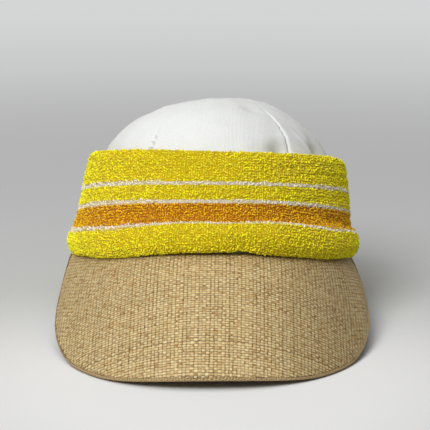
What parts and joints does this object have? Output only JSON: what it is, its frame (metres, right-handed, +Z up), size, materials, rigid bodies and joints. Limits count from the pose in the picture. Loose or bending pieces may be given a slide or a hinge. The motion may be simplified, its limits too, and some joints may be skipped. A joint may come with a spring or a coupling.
{
  "type": "sun hat",
  "caption": "Soft canvas-crowned sun hat with a turned-up striped terry cuff and a wide arched straw bill, standing tipped back on its rim.",
  "frame": {"origin": "middle of the bounding box's underside, on the surface the hat stands on", "axes": "+Z up from that surface, -Y the way the bill points, +X to the wearer's left"},
  "size_m": [0.1992, 0.3116, 0.1389],
  "materials": {
    "canvas": "white cotton canvas, plain weave, soft and matt",
    "cotton_tape": "off-white woven cotton tape",
    "lining": "cream cotton cloth",
    "terry": "cotton terry towelling, yellow with an orange band and white stripes",
    "straw": "plain-woven flat paper straw in natural tan",
    "board": "grey-cream pressed board"
  },
  "bodies": {
    "root": {"bill_edge_binding": "straw", "bill_seam_tape": "cotton_tape", "bill_stiffener_board": "board", "bill_straw_cover": "straw", "bill_under_cover": "lining", "crown_back_panel_left": "canvas", "crown_back_panel_right": "canvas", "crown_front_panel": "canvas", "crown_seam_tape_back_centre": "cotton_tape", "crown_seam_tape_back_left": "cotton_tape", "crown_seam_tape_back_right": "cotton_tape", "crown_seam_tape_front_left": "cotton_tape", "crown_seam_tape_front_right": "cotton_tape", "crown_side_panel_left": "canvas", "crown_side_panel_right": "canvas", "size_label": "cotton_tape", "sweatband": "lining", "terry_cuff_lining": "terry", "terry_cuff_outer": "terry"}
  },
  "joints": []
}
